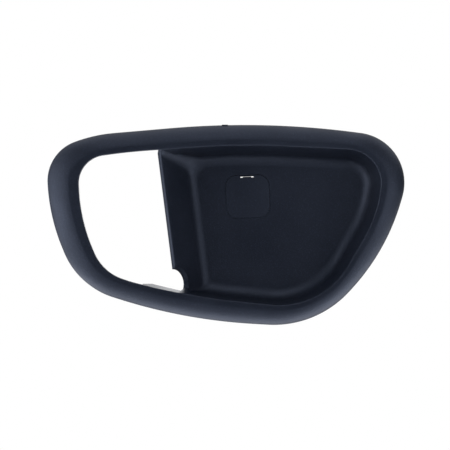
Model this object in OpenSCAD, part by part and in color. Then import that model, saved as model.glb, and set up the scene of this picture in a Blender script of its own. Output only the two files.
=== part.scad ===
// Inner door handle trim cover: a hollow rim round the handle opening,
// a finger cup that drops away from it, and a small cover over the fixing screw.
// The face looks along -Y, +X is to the right of the face and +Z is up.
// The origin is the fixing hole, where the back of the screw seat bears.

/* [Outline] */
// Length of the bezel, end to end
bezel_w = 166; // [156:1:180]
// Height of the bezel
bezel_h = 93; // [88:1:100]

/* [Rim] */
// Width of the rim over the opening and the cup
rim_top_w = 9.8; // [8.5:0.1:11]
// Width of the rim at the left end
rim_left_w = 14.6; // [12:0.1:16]
// Width of the rim under the opening and the cup
rim_bottom_w = 9.4; // [8.5:0.1:11]
// Width of the rim at the right end
rim_right_w = 11.2; // [9:0.1:13]
// Height of the rim's crest above the door panel
rim_height = 5.5; // [5.3:0.1:7]
// Height of the rim's inner edge above the door panel
lip_height = 5; // [4:0.1:5.2]
// Wall of the hollow rim
rim_wall = 2.2; // [1.8:0.1:2.6]

/* [Finger cup] */
// Depth of the cup floor behind the door panel
cup_depth = 10; // [7:0.5:14]
// Wall of the cup
cup_wall = 2.2; // [1.8:0.1:2.8]
// Draft of the walls along the top and at the right end
upper_draft = 19; // [15:0.5:21]
// Draft of the wall along the bottom
lower_draft = 10; // [8:0.5:16]
// Slope of the left wall, from the floor up to the handle opening
ramp_angle = 46.5; // [45:0.5:56]
// Lean of the ramp's free edge from upright
ramp_lean = 7.2; // [4:0.2:10]
// Distance of the ramp's free edge from the bezel's middle
ramp_edge_x = 26; // [24:0.5:30]
// Height of the ramp's free edge above the door panel
ramp_top = 3.8; // [2:0.1:4.5]
// Fillet between the cup's walls and its floor
cup_fillet = 6.4; // [4:0.2:6.8]

/* [Notch] */
// Radius of the notch at the lower end of the ramp
notch_r = 6.5; // [5:0.1:7]
// Chamfer round the notch
notch_chamfer = 1.3; // [0.5:0.1:1.8]
// Place of the notch below the bezel's middle
notch_drop = 26.9; // [25:0.1:28]
// Reach of the wall behind the rim, beside the notch
flange_depth = 9; // [6:0.5:12]

/* [Screw cover] */
// Place of the screw cover, right of the bezel's middle
cover_x = 10.3; // [8:0.1:14]
// Place of the screw cover, above the bezel's middle
cover_z = 13.4; // [8:0.1:14]
// Width of the screw cover
cover_w = 20.4; // [18:0.1:22]
// Height of the screw cover
cover_h = 20.1; // [18:0.1:22]
// Corner radius of the screw cover
cover_r = 5.3; // [3:0.1:7]
// Thickness of the screw cover's plate
cover_t = 1.8; // [1.4:0.1:2.2]
// Turn of the screw cover, its right side up
cover_turn = 2.2; // [0:0.1:4]
// Gap round the screw cover
cover_gap = 0.25; // [0.2:0.05:0.4]
// Width of the ledge that the screw cover lies on
ledge_w = 1.9; // [1.5:0.1:2.4]
// Width of the slot for the screw cover's catch
slot_w = 6.2; // [5.6:0.1:7.4]
// Width of the screw cover's catch
catch_w = 4; // [3.4:0.1:4.6]

/* [Screw seat] */
// Depth of the screw seat behind the cup floor
seat_depth = 9; // [7:0.5:12]
// Thickness of the screw seat
seat_t = 2.2; // [1.8:0.1:3]
// Radius of the fixing hole
screw_hole_r = 2.75; // [2:0.05:3.2]

/* [Back] */
// Number of ribs round the rim, before those beside a hook are left out
rib_count = 16; // [8:1:20]
// Thickness of the ribs and hooks inside the rim
rib_t = 1.6; // [1.2:0.1:2]
// Gap between the ribs and the door panel
rib_set_in = 1; // [0.5:0.1:2]
// Thickness of the door panel that the hooks reach behind
panel_t = 2.6; // [2:0.1:4]
// Width of the hooks at the left end
hook_w = 8; // [5:0.5:10]
// Reach of the hooks behind the door panel
hook_reach = 3; // [2:0.1:3.5]
// Width of the locating nub on the rim's top edge
nub_w = 2.8; // [2:0.1:5]
// Height of the locating nub over the rim's top edge
nub_proud = 0.55; // [0.3:0.05:1]

/* [Hidden] */

right = bezel_w / 2;
left = -right;
top = bezel_h / 2;
bottom = -top;

inner_left = left + rim_left_w;
inner_right = right - rim_right_w;
inner_top = top - rim_top_w;
inner_bottom = bottom + rim_bottom_w;

// Corners of the rim's outer edge, anticlockwise from the top,
// as [x, z, radius, steps in the arc]
outer_corners = [
    [17.2, top + 2.3, 398, 5],
    [left + 22.1, top - 4.4, 69, 5],
    [left - 1, top - 12.6, 19.5, 10],
    [left + 1.1, 3.4, 90, 5],
    [left + 11.5, bottom + 24.4, 36, 6],
    [left + 24.9, bottom + 14.6, 34.6, 5],
    [-19.5, bottom + 2.3, 254, 4],
    [right - 40.9, bottom - 1.3, 47.7, 9],
    [right - 8.3, -12.4, 101.7, 5],
    [right + 7.1, top - 7.1, 23.4, 12]
];

// Corners of the rim's inner edge, matched to the outer ones
inner_corners = [
    [8.4, inner_top + 0.8, 541, 6],
    [inner_left + 23.2, inner_top - 2.7, 289, 5],
    [inner_left - 0.5, inner_top - 6.1, 13.1, 12],
    [inner_left + 0.9, 2.1, 80, 6],
    [inner_left + 11.2, inner_bottom + 15.2, 21.7, 8],
    [inner_left + 24.4, inner_bottom + 10.7, 61.7, 6],
    [-15.9, inner_bottom + 3.7, 330, 6],
    [inner_right - 26.7, inner_bottom - 2.3, 37.1, 9],
    [inner_right - 1.6, 4.4, 59.5, 6],
    [inner_right + 2.6, inner_top - 2.4, 16.1, 12]
];

// Most of an edge's length that the arcs at its ends may take up
arc_share = 0.96;

function unit(v) = v / norm(v);
function flat(p) = [p[0], p[1]];
function reversed(list) = [for (i = [len(list) - 1:-1:0]) list[i]];

// An outline whose corners [x, z, radius, steps] are rounded; where the arcs at both
// ends of an edge would run into each other, they are made smaller
function rounded(corners) =
    let (
        n = len(corners),
        at = [for (c = corners) flat(c)],
        to_last = [for (i = [0:n - 1]) unit(at[(i + n - 1) % n] - at[i])],
        to_next = [for (i = [0:n - 1]) unit(at[(i + 1) % n] - at[i])],
        half = [for (i = [0:n - 1]) acos(to_last[i] * to_next[i]) / 2],
        run = [for (i = [0:n - 1]) corners[i][2] / tan(half[i])],
        room = [for (i = [0:n - 1])
            let (j = (i + 1) % n)
            arc_share * norm(at[j] - at[i]) / (run[i] + run[j])
        ]
    )
    [for (i = [0:n - 1])
        let (
            radius = corners[i][2] * min(1, room[i], room[(i + n - 1) % n]),
            steps = corners[i][3],
            centre = at[i] + unit(to_last[i] + to_next[i]) * radius / sin(half[i]),
            start = at[i] + to_last[i] * radius / tan(half[i]) - centre,
            first = atan2(start[1], start[0])
        )
        for (k = [0:steps])
            let (a = first + (180 - 2 * half[i]) * k / steps)
            centre + radius * [cos(a), sin(a)]
    ];

// Corners moved inwards by one amount for each edge, down to one least radius for each
// corner; edge i ends at corner i
function inset(corners, by, least_r) =
    let (
        n = len(corners),
        inward = [for (i = [0:n - 1])
            let (along = unit(flat(corners[i]) - flat(corners[(i + n - 1) % n])))
            [-along[1], along[0]]
        ]
    )
    [for (i = [0:n - 1])
        let (
            j = (i + 1) % n,
            corner = flat(corners[i]),
            reach_i = inward[i] * corner + by[i],
            reach_j = inward[j] * corner + by[j],
            spread = cross(inward[i], inward[j])
        )
        [
            (reach_i * inward[j][1] - reach_j * inward[i][1]) / spread,
            (reach_j * inward[i][0] - reach_i * inward[j][0]) / spread,
            max(corners[i][2] - (by[i] + by[j]) / 2, least_r[i]),
            corners[i][3]
        ]
    ];

// An outline with its longer spans divided, so that no step is over the given length
function divided(line, step) =
    let (n = len(line))
    [for (i = [0:n - 1])
        let (span = line[(i + 1) % n] - line[i], parts = ceil(norm(span) / step))
        for (k = [0:parts - 1]) line[i] + span * k / parts
    ];

// Where a line from a point along a direction first meets an outline
function meets(point, along, line) =
    let (
        n = len(line),
        reach = [for (i = [0:n - 1])
            let (
                gap = line[i] - point,
                span = line[(i + 1) % n] - line[i],
                spread = cross(along, span),
                t = cross(gap, span) / spread,
                s = cross(gap, along) / spread
            )
            if (t > 0 && s >= 0 && s <= 1) t
        ]
    )
    point + along * min(reach);

// Stations of the rim: points on its outer edge, and on its inner edge square to that
station_gap = 7;
outer_line = divided(rounded(outer_corners), station_gap);
stations = len(outer_line);
inner_edge = rounded(inner_corners);
inner_line = [for (i = [0:stations - 1])
    let (ahead = unit(outer_line[(i + 1) % stations] - outer_line[(i + stations - 1) % stations]))
    meets(outer_line[i], [-ahead[1], ahead[0]], inner_edge)
];

// Share of the rim's width that lies outside its crest
crest_share = 0.66;

// Face of the rim's section, foot to foot, as [across, height]
function rim_face(width, inset_by, steps) =
    let (
        crest = crest_share * width,
        rise = rim_height - inset_by,
        lip = lip_height - inset_by
    )
    [
        for (k = [0:steps])
            let (a = 90 * k / steps)
            [inset_by + (crest - inset_by) * (1 - cos(a)), rise * sin(a)],
        for (k = [1:steps])
            let (s = k / steps)
            [crest + (width - inset_by - crest) * s, rise - (rise - lip) * s * s],
        [width - inset_by, 0]
    ];

// Section of the rim at one station, in space
function rim_ring(i) =
    let (
        from = outer_line[i],
        across = inner_line[i] - from,
        width = norm(across),
        dir = across / width,
        section = concat(rim_face(width, 0, 6), reversed(rim_face(width, rim_wall, 4)))
    )
    [for (p = section) [from[0] + dir[0] * p[0], -p[1], from[1] + dir[1] * p[0]]];

// Solid skin through rings that hold as many points each
module skin(rings, closed) {
    n = len(rings[0]);
    m = len(rings);
    spans = closed ? m : m - 1;
    walls = [
        for (i = [0:spans - 1], j = [0:n - 1])
            let (
                a = i * n + j,
                b = i * n + (j + 1) % n,
                c = ((i + 1) % m) * n + j,
                d = ((i + 1) % m) * n + (j + 1) % n
            )
            each [[a, b, d], [a, d, c]]
    ];
    ends = closed ? [] : [
        [for (j = [n - 1:-1:0]) j],
        [for (j = [0:n - 1]) (m - 1) * n + j]
    ];
    polyhedron([for (ring = rings) each ring], concat(walls, ends));
}

module rim() {
    skin([for (i = [0:stations - 1]) rim_ring(i)], true);
}

// The cup's hollow, from its lip at the rim's inner edge down to its floor
lip_to_floor = lip_height + cup_depth;
ramp_run = (cup_depth + ramp_top) / tan(ramp_angle);
ramp_lip_x = ramp_edge_x + (lip_height - ramp_top) / tan(ramp_angle);
// The hollow bites this much into the rim's inner edge
crease = 0.25;

// The ramp's line at the lip and at the floor, where it crosses height z
function ramp_x(z) = -ramp_lip_x - z * tan(ramp_lean);

low_z = inner_bottom + 5.9;
high_z = inner_top - 1.8;
foot_x = -ramp_edge_x + ramp_run - low_z * tan(ramp_lean);

// The lip follows the inner edge's top corner as two gentler ones, each this far from it
top_split = 10;
lip_tops = [for (j = [9, 1])
    let (from = flat(inner_corners[0]))
    from + unit(flat(inner_corners[j]) - from) * top_split
];

// Radius of the cup's corners at the ramp, and how it grows with depth at the upper one
corner_r = 2.5;
corner_growth = 0.3;

// The least radius of each corner of the cup, at height h above the floor
function least_radii(h) =
    [for (i = [0:7]) corner_r + (i == 2 ? corner_growth * (lip_to_floor - h) : 0)];

// Corners of the cup's lip, anticlockwise from the top
lip_corners = inset([
    [lip_tops[0][0], lip_tops[0][1], 300, 4],
    [lip_tops[1][0], lip_tops[1][1], 200, 4],
    [ramp_x(high_z), high_z, corner_r, 7],
    [ramp_x(low_z), low_z, corner_r, 7],
    [foot_x + 7, low_z - 0.163 * (foot_x + 7 - ramp_x(low_z)), 60, 4],
    inner_corners[7],
    inner_corners[8],
    inner_corners[9]
], [for (i = [0:7]) -crease], least_radii(lip_to_floor));

// Draft of the wall that ends at each of those corners
drafts = [
    upper_draft, upper_draft, upper_draft, 90 - ramp_angle,
    lower_draft, lower_draft, upper_draft, upper_draft
];

// How far a wall of the cup has come inwards at height h above the floor,
// on the face that lies t outside the cup's inner one
function wall_inset(draft, h, t) =
    let (
        round_x = lip_to_floor * tan(draft) + cup_fillet * tan(45 - draft / 2)
    )
    h >= cup_fillet - (cup_fillet + t) * sin(draft)
        ? (lip_to_floor - h) * tan(draft) - t / cos(draft)
        : round_x - sqrt(pow(cup_fillet + t, 2) - pow(cup_fillet - h, 2));

function cup_ring(h, t) =
    let (
        by = [for (d = drafts) wall_inset(d, h, t)],
        line = rounded(inset(lip_corners, by, least_radii(h)))
    )
    [for (p = line) [p[0], cup_depth - h, p[1]]];

// Angles round the cup's fillet, down to the floor
fillet_angles = [72, 54, 36, 18, 0];

function fillet_rings(t) =
    [for (a = fillet_angles) cup_ring(cup_fillet - (cup_fillet + t) * cos(a) + 0.0001, t)];

module cup_hollow() {
    lip = cup_ring(lip_to_floor, 0);
    mouth = [for (p = lip) [p[0], -rim_height - 1, p[2]]];
    skin(concat([mouth, lip], fillet_rings(0)), false);
}

// The cup's outside starts in the middle of the rim's inner wall, just under its edge
body_lip_h = lip_to_floor - 0.3;
body_lip_by = [for (d = drafts)
    d > 30 ? wall_inset(d, body_lip_h, cup_wall) : -0.55 * rim_wall
];

module cup_body() {
    line = rounded(inset(lip_corners, body_lip_by, least_radii(body_lip_h)));
    lip = [for (p = line) [p[0], cup_depth - body_lip_h, p[1]]];
    skin(concat([lip], fillet_rings(cup_wall)), false);
}

// Places a shape on the ramp: x runs up the slope, y along it, z out of its inner face
module on_ramp(z) {
    translate([-ramp_edge_x - z * tan(ramp_lean), -ramp_top, z])
        rotate([0, -ramp_lean, 0])
        rotate([90, 0, 0])
        rotate([0, ramp_angle, 0])
        children();
}

// What the ramp's free edge is cut back by, square to its slope
module ramp_trim() {
    on_ramp(0) translate([-20, -60, -30]) cube([20, 120, 60]);
}

module notch() {
    $fn = 48;
    on_ramp(-notch_drop) {
        translate([0, 0, -10]) cylinder(r = notch_r, h = 20);
        translate([0, 0, -notch_chamfer])
            cylinder(r1 = notch_r, r2 = notch_r + 2 * notch_chamfer, h = 2 * notch_chamfer);
    }
}

// The bottom wall of the cup runs on behind the rim, beside the notch
module flange() {
    length = 20;
    slope = 13.6;
    tilt = 6;
    embed = 3;
    translate([inner_left + 29.9, flange_depth, inner_bottom + 10.6])
        rotate([0, slope, 0])
        rotate([tilt, 0, 0])
        translate([0, 0, -cup_wall])
        linear_extrude(cup_wall)
        polygon([
            [0, -flange_depth - embed],
            [0, 1 - flange_depth],
            [4, 0],
            [length, 0],
            [length, -flange_depth - embed]
        ]);
}

// Places a shape at the middle of the screw cover, turned as the cover is
module at_cover() {
    translate([cover_x, 0, cover_z]) rotate([0, -cover_turn, 0]) children();
}

// A flat outline drawn out from depth y0 to depth y1
module slab(y0, y1) {
    translate([0, y1, 0]) rotate([90, 0, 0]) linear_extrude(y1 - y0) children();
}

// Rounded rectangle
module tile(w, h, r) {
    $fn = 40;
    square([w - 2 * r, h], center = true);
    square([w, h - 2 * r], center = true);
    for (x = [r - w / 2, w / 2 - r], z = [r - h / 2, h / 2 - r])
        translate([x, z]) circle(r);
}

// Depths behind the door panel, from the cup floor back to the screw seat
ledge_y = cup_depth + cover_t;
block_y = ledge_y + 2;
seat_y = cup_depth + seat_depth;
back_y = seat_y + seat_t;

// Inner size of the screw pocket and the wall round it
pocket_w = cover_w - 2 * ledge_w;
pocket_h = cover_h - 2 * ledge_w;
pocket_r = 2.5;
pocket_wall = 2;

// The catch's slot: its lower and upper edges above the cover's middle
slot_low = pocket_h / 2 - 0.4;
slot_high = cover_h / 2 - 0.7;

// Block behind the cup floor that the screw cover and the fixing screw bear on
module seat_block() {
    side = 2 * (cover_gap + pocket_wall);
    at_cover() {
        slab(cup_depth + cup_wall / 2, block_y)
            tile(cover_w + side, cover_h + side, cover_r + side / 2);
        slab(cup_depth + cup_wall / 2, back_y)
            tile(pocket_w + 2 * pocket_wall, pocket_h + 2 * pocket_wall, pocket_r + pocket_wall);
    }
}

// What is cut out of the block: the cover's rebate, the pocket, the slot and the hole
module seat_cuts() {
    at_cover() {
        slab(cup_depth - 1, ledge_y)
            tile(cover_w + 2 * cover_gap, cover_h + 2 * cover_gap, cover_r + cover_gap);
        slab(ledge_y - 1, seat_y) tile(pocket_w, pocket_h, pocket_r);
        translate([-slot_w / 2, ledge_y - 1, slot_low])
            cube([slot_w, back_y - ledge_y + 2, slot_high - slot_low]);
        translate([-slot_w / 2, block_y, slot_low])
            cube([slot_w, back_y - block_y + 1, 2 * pocket_wall]);
        translate([0, back_y + 1, 0])
            rotate([90, 0, 0])
            cylinder(r = screw_hole_r, h = seat_t + 2, $fn = 48);
    }
}

// The station nearest to a point
function nearest(point) =
    let (far = [for (p = outer_line) norm(p - point)])
    search(min(far), far)[0];

// Stations that carry a hook, the locating tab and a rib
hook_stations = [nearest([left, 22]), nearest([left + 8, -14])];
tab_station = nearest([right, 8]);
rib_stations = [for (k = [0:rib_count - 1])
    let (
        i = floor((k + 0.5) * stations / rib_count),
        beside = [for (j = concat(hook_stations, [tab_station])) norm(outer_line[i] - outer_line[j])]
    )
    if (min(beside) > hook_w) i
];

function rim_width(i) = norm(inner_line[i] - outer_line[i]);

// Draws out a flat shape, given as [across, height], in the rim's section at one station
module in_section(i, thickness) {
    across = inner_line[i] - outer_line[i];
    translate([outer_line[i][0], 0, outer_line[i][1]])
        rotate([0, -atan2(across[1], across[0]), 0])
        rotate([180, 0, 0])
        translate([0, 0, -thickness / 2])
        linear_extrude(thickness)
        children();
}

module ribs() {
    embed = 0.6;
    for (i = rib_stations) {
        face = rim_face(rim_width(i), rim_wall - embed, 4);
        last = len(face) - 1;
        in_section(i, rib_t)
            polygon([
                [face[0][0], rib_set_in],
                for (k = [1:last - 1]) face[k],
                [face[last][0], rib_set_in]
            ]);
    }
}

// Hooks and the locating tab stand on the inside of the rim's crest
module hooks() {
    leg_top = rim_height - rim_wall + 0.4;
    leg_end = -panel_t - rib_t;
    for (i = hook_stations) {
        outer = (rim_width(i) - rib_t) / 2;
        in_section(i, hook_w)
            polygon([
                [outer, leg_top],
                [outer, -panel_t],
                [outer - hook_reach, -panel_t],
                [outer - hook_reach, leg_end],
                [outer + rib_t, leg_end],
                [outer + rib_t, leg_top]
            ]);
    }
    middle = rim_width(tab_station) / 2;
    in_section(tab_station, hook_w)
        translate([middle - rib_t / 2, leg_end])
        square([rib_t, leg_top - leg_end]);
}

module nub() {
    middle = -0.4;
    depth = 2.4;
    set_in = 0.2;
    translate([middle - nub_w / 2, -depth - set_in, top - rim_wall / 2])
        cube([nub_w, depth, rim_wall / 2 + nub_proud]);
}

module bezel() {
    color([0.11, 0.12, 0.15])
    difference() {
        union() {
            rim();
            difference() {
                cup_body();
                ramp_trim();
                notch();
            }
            seat_block();
            flange();
            ribs();
            hooks();
            nub();
        }
        cup_hollow();
        seat_cuts();
    }
}

// The two plain legs at the cover's lower edge, which locate it in the pocket
module cover_legs() {
    leg_w = 3;
    leg_t = 1.5;
    leg_back = 4.2;
    play = 0.2;
    for (x = [-cover_w / 4, cover_w / 4])
        translate([x - leg_w / 2, ledge_y - 0.5, play - pocket_h / 2])
            cube([leg_w, leg_back, leg_t]);
}

// The catch behind the pry notch; its upper edge leaves the cover's gap under the slot's
module catch() {
    catch_t = 1.7;
    catch_back = 6;
    translate([-catch_w / 2, cup_depth + cover_t / 2, slot_high - cover_gap - catch_t])
        cube([catch_w, catch_back - cover_t / 2, catch_t]);
}

module screw_cover() {
    pry_depth = 1.2;
    color([0.13, 0.14, 0.17])
    at_cover() {
        difference() {
            slab(cup_depth, ledge_y) tile(cover_w, cover_h, cover_r);
            translate([-slot_w / 2, cup_depth - 1, cover_h / 2 - pry_depth])
                cube([slot_w, cover_t + 2, pry_depth + 1]);
        }
        catch();
        cover_legs();
    }
}

// The finished frame: the fixing hole's axis, at the back of the screw seat
module framed() {
    translate([-cover_x, -back_y, -cover_z]) children();
}

framed() bezel();
framed() screw_cover();
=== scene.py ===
"""Looks of a door handle trim cover: its moulded bezel and the small cover over its fixing screw."""
import logging
import math
from dataclasses import dataclass, field
from enum import Enum

import bmesh
import bpy
from mathutils import Matrix, Vector


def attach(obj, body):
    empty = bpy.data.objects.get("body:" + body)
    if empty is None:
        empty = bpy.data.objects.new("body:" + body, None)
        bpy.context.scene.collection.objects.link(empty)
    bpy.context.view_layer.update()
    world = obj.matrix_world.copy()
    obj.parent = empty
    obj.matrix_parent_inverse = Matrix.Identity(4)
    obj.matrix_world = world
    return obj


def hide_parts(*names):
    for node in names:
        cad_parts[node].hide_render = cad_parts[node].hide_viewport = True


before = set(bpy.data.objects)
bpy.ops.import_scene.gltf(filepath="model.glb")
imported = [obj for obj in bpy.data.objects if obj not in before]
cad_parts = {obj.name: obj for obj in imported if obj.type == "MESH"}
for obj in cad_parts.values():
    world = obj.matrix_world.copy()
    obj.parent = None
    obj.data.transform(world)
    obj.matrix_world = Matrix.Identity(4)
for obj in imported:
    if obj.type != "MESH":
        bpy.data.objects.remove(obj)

log = logging.getLogger("trim_cover")

# Lengths are millimetres from the middle of the bezel on the door panel's plane: x to the
# right of the face, y into the door, z up. The shift brings them to the part's own origin,
# at the back of the fixing hole, and MM makes them metres.
MM = 0.001
ORIGIN_SHIFT = Vector((-10.3, -21.2, -13.4))

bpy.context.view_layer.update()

# Most of an edge's length that the arcs at its ends may take up
ARC_SHARE = 0.96
# How far a cut runs on past the face that it opens
OVERRUN = 1.0
# The angle in degrees above which an edge of a finished piece stays sharp
SHARP_ANGLE = 32.0
WHITE = (1.0, 1.0, 1.0, 1.0)


class Cut(Enum):
    """What a boolean does with the second shape."""

    JOIN = "UNION"
    TAKE_AWAY = "DIFFERENCE"


class Rounding(Enum):
    """What a rounding takes off."""

    EDGES = "EDGES"
    CORNERS = "VERTICES"


@dataclass(frozen=True)
class Corner:
    """A rounded corner of an outline: its place, its radius and the steps in its arc."""

    x: float
    z: float
    radius: float
    steps: int = 14

    @property
    def place(self) -> Vector:
        """Returns the corner's point in the face's plane."""
        return Vector((self.x, self.z))


def rounded(corners: list[Corner]) -> list[Vector]:
    """Rounds an outline's corners, with arcs that never run into each other.

    Args:
        corners: The corners, anticlockwise seen from the front.

    Returns:
        The points of all the arcs in order.
    """
    count = len(corners)
    at = [c.place for c in corners]
    back = [(at[i - 1] - at[i]).normalized() for i in range(count)]
    ahead = [(at[(i + 1) % count] - at[i]).normalized() for i in range(count)]
    half = [math.acos(max(-1.0, min(1.0, back[i].dot(ahead[i])))) / 2 for i in range(count)]
    run = [corners[i].radius / math.tan(half[i]) for i in range(count)]
    room = []
    for i in range(count):
        j = (i + 1) % count
        room.append(ARC_SHARE * (at[j] - at[i]).length / (run[i] + run[j]))
    points = []
    for i, corner in enumerate(corners):
        radius = corner.radius * min(1.0, room[i], room[i - 1])
        centre = at[i] + (back[i] + ahead[i]).normalized() * radius / math.sin(half[i])
        start = at[i] + back[i] * radius / math.tan(half[i]) - centre
        first = math.atan2(start.y, start.x)
        turn = math.pi - 2 * half[i]
        for k in range(corner.steps + 1):
            angle = first + turn * k / corner.steps
            points.append(centre + radius * Vector((math.cos(angle), math.sin(angle))))
    return points


def inset(corners: list[Corner], by: list[float], least: list[float]) -> list[Corner]:
    """Moves an outline's edges inwards, each by its own amount.

    Args:
        corners: The outline; edge i ends at corner i.
        by: How far each edge moves.
        least: The smallest radius that each corner may come down to.

    Returns:
        The corners of the new outline.
    """
    count = len(corners)
    inward = []
    for i in range(count):
        along = (corners[i].place - corners[i - 1].place).normalized()
        inward.append(Vector((-along.y, along.x)))
    moved = []
    for i, corner in enumerate(corners):
        j = (i + 1) % count
        reach_i = inward[i].dot(corner.place) + by[i]
        reach_j = inward[j].dot(corner.place) + by[j]
        spread = inward[i].x * inward[j].y - inward[i].y * inward[j].x
        x = (reach_i * inward[j].y - reach_j * inward[i].y) / spread
        z = (reach_j * inward[i].x - reach_i * inward[j].x) / spread
        radius = max(corner.radius - (by[i] + by[j]) / 2, least[i])
        moved.append(Corner(x, z, radius, corner.steps))
    return moved


def even_steps(line: list[Vector], step: float) -> list[Vector]:
    """Spaces points evenly along a closed outline.

    Args:
        line: The outline's points.
        step: The spacing to come near to.

    Returns:
        The evenly spaced points.
    """
    closed = line + line[:1]
    spans = [(closed[i + 1] - closed[i]).length for i in range(len(line))]
    count = round(sum(spans) / step)
    pitch = sum(spans) / count
    points, here, i = [], 0.0, 0
    for k in range(count):
        while here + spans[i] < k * pitch:
            here += spans[i]
            i += 1
        share = (k * pitch - here) / spans[i] if spans[i] else 0.0
        points.append(closed[i].lerp(closed[i + 1], share))
    return points


def first_crossing(point: Vector, along: Vector, line: list[Vector]) -> float:
    """Measures how far a straight line runs before it meets an outline.

    Args:
        point: Where the straight line starts.
        along: Its direction, at length one.
        line: The closed outline.

    Returns:
        The distance to the nearest crossing.
    """
    best = math.inf
    for i, start in enumerate(line):
        span = line[(i + 1) % len(line)] - start
        spread = along.x * span.y - along.y * span.x
        if abs(spread) < 1e-12:
            continue
        gap = start - point
        share = (gap.x * along.y - gap.y * along.x) / spread
        if 0.0 <= share <= 1.0:
            reach = (gap.x * span.y - gap.y * span.x) / spread
            if 0.0 < reach < best:
                best = reach
    return best


def eased_corner(before: Vector, corner: Vector, after: Vector, steps: int = 4) -> list[Vector]:
    """Rounds one corner of a section.

    Args:
        before: Where the rounding starts.
        corner: The sharp corner.
        after: Where it ends.
        steps: The steps in the curve.

    Returns:
        The curve's points, ends included.
    """
    return [before.lerp(corner, k / steps).lerp(corner.lerp(after, k / steps), k / steps)
            for k in range(steps + 1)]


def smooth_step(value: float, low: float, high: float) -> float:
    """Returns 0 below low and 1 above high, with a smooth change between."""
    share = max(0.0, min(1.0, (value - low) / (high - low)))
    return share * share * (3 - 2 * share)


def linked(name: str, data: bpy.types.ID) -> bpy.types.Object:
    """Returns a new object of a mesh, lamp or camera, linked to the scene."""
    obj = bpy.data.objects.new(name, data)
    bpy.context.scene.collection.objects.link(obj)
    return obj


def new_object(name: str, bm: bmesh.types.BMesh, place: Matrix | None = None) -> bpy.types.Object:
    """Makes an object of a bmesh, with its normals outwards.

    Args:
        name: The object's name.
        bm: The bmesh, which is freed.
        place: How it is moved and turned first, if at all.

    Returns:
        The object, linked to the scene.
    """
    if place is not None:
        bmesh.ops.transform(bm, matrix=place, verts=bm.verts[:])
    bmesh.ops.recalc_face_normals(bm, faces=bm.faces[:])
    mesh = bpy.data.meshes.new(name)
    bm.to_mesh(mesh)
    bm.free()
    return linked(name, mesh)


def new_verts(made: dict[str, list]) -> list[bmesh.types.BMVert]:
    """Returns the vertices among what a bmesh operator made."""
    return [item for item in made["geom"] if isinstance(item, bmesh.types.BMVert)]


def round_off(bm: bmesh.types.BMesh, geom: list, radius: float, segments: int,
              rounding: Rounding = Rounding.EDGES) -> None:
    """Rounds off some of a shape's edges or corners.

    Args:
        bm: The shape.
        geom: The edges or the corners.
        radius: How far they are rounded off; 0 leaves them sharp.
        segments: The steps in the rounding.
        rounding: Which of the two is rounded.
    """
    if radius:
        bmesh.ops.bevel(bm, geom=geom, offset=radius, segments=segments, profile=0.5,
                        affect=rounding.value, material=-1)


def draw_faces(bm: bmesh.types.BMesh, way: tuple[float, float, float], keep: bool) -> None:
    """Draws a shape's faces out to a solid.

    Args:
        bm: The shape.
        way: How far, and which way.
        keep: Whether the operator is told to keep the first faces.
    """
    made = bmesh.ops.extrude_face_region(bm, geom=bm.faces[:], use_keep_orig=keep)
    bmesh.ops.translate(bm, verts=new_verts(made), vec=way)


def swept(name: str, rings: list[list[Vector]], closed: bool) -> bpy.types.Object:
    """Sweeps a closed ring of edges through a row of places.

    Args:
        name: The object's name.
        rings: The ring's points at each place, as many each time.
        closed: Whether the last ring meets the first; otherwise both ends are filled.

    Returns:
        The swept solid.
    """
    bm = bmesh.new()
    verts = [bm.verts.new(p) for p in rings[0]]
    count = len(verts)
    edges = [bm.edges.new((verts[i], verts[(i + 1) % count])) for i in range(count)]
    first_edges = list(edges)
    for ring in rings[1:] + (rings[:1] if closed else []):
        fresh = set(new_verts(bmesh.ops.extrude_edge_only(bm, edges=edges)))
        moved = []
        for vert, place in zip(verts, ring):
            twin = next(e.other_vert(vert) for e in vert.link_edges if e.other_vert(vert) in fresh)
            twin.co = place
            moved.append(twin)
        verts = moved
        edges = [bm.edges.get((verts[i], verts[(i + 1) % count])) for i in range(count)]
    if closed:
        bmesh.ops.remove_doubles(bm, verts=bm.verts[:], dist=1e-5)
    else:
        for ends in (first_edges, edges):
            filled = bmesh.ops.edgeloop_fill(bm, edges=ends)["faces"]
            bmesh.ops.inset_individual(bm, faces=filled, thickness=0.4, use_even_offset=True)
    return new_object(name, bm)


def drawn_out(name: str, outline: list[tuple[float, float]], thickness: float, place: Matrix,
              edge: float = 0.0) -> bpy.types.Object:
    """Draws a flat outline out to both sides of its plane.

    Args:
        name: The object's name.
        outline: The outline's points.
        thickness: The solid's whole thickness.
        place: Where the outline's plane lies.
        edge: How far its edges are rounded off.

    Returns:
        The solid.
    """
    bm = bmesh.new()
    verts = [bm.verts.new((x, y, -thickness / 2)) for x, y in outline]
    bmesh.ops.contextual_create(bm, geom=verts)
    draw_faces(bm, (0, 0, thickness), keep=False)
    round_off(bm, bm.edges[:], edge, segments=2)
    return new_object(name, bm, place)


def rounded_block(name: str, size: tuple[float, float], radius: float, depth: tuple[float, float],
                  place: Matrix, edge: float = 0.0) -> bpy.types.Object:
    """Makes a block with a rounded rectangular face.

    Args:
        name: The object's name.
        size: Its width and height.
        radius: The radius of its corners.
        depth: Its front and back along y.
        place: Where its middle lies, and how it is turned.
        edge: How far its front edge is rounded off.

    Returns:
        The block.
    """
    bm = bmesh.new()
    bmesh.ops.create_grid(bm, x_segments=1, y_segments=1, size=0.5)
    bmesh.ops.scale(bm, vec=(*size, 1), verts=bm.verts[:])
    round_off(bm, bm.verts[:], radius, 12, Rounding.CORNERS)
    bmesh.ops.rotate(bm, matrix=Matrix.Rotation(math.radians(90), 3, "X"), verts=bm.verts[:])
    bmesh.ops.translate(bm, verts=bm.verts[:], vec=(0, depth[0], 0))
    front = list(bm.edges)
    draw_faces(bm, (0, depth[1] - depth[0], 0), keep=True)
    round_off(bm, front, edge, segments=3)
    return new_object(name, bm, place)


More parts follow.
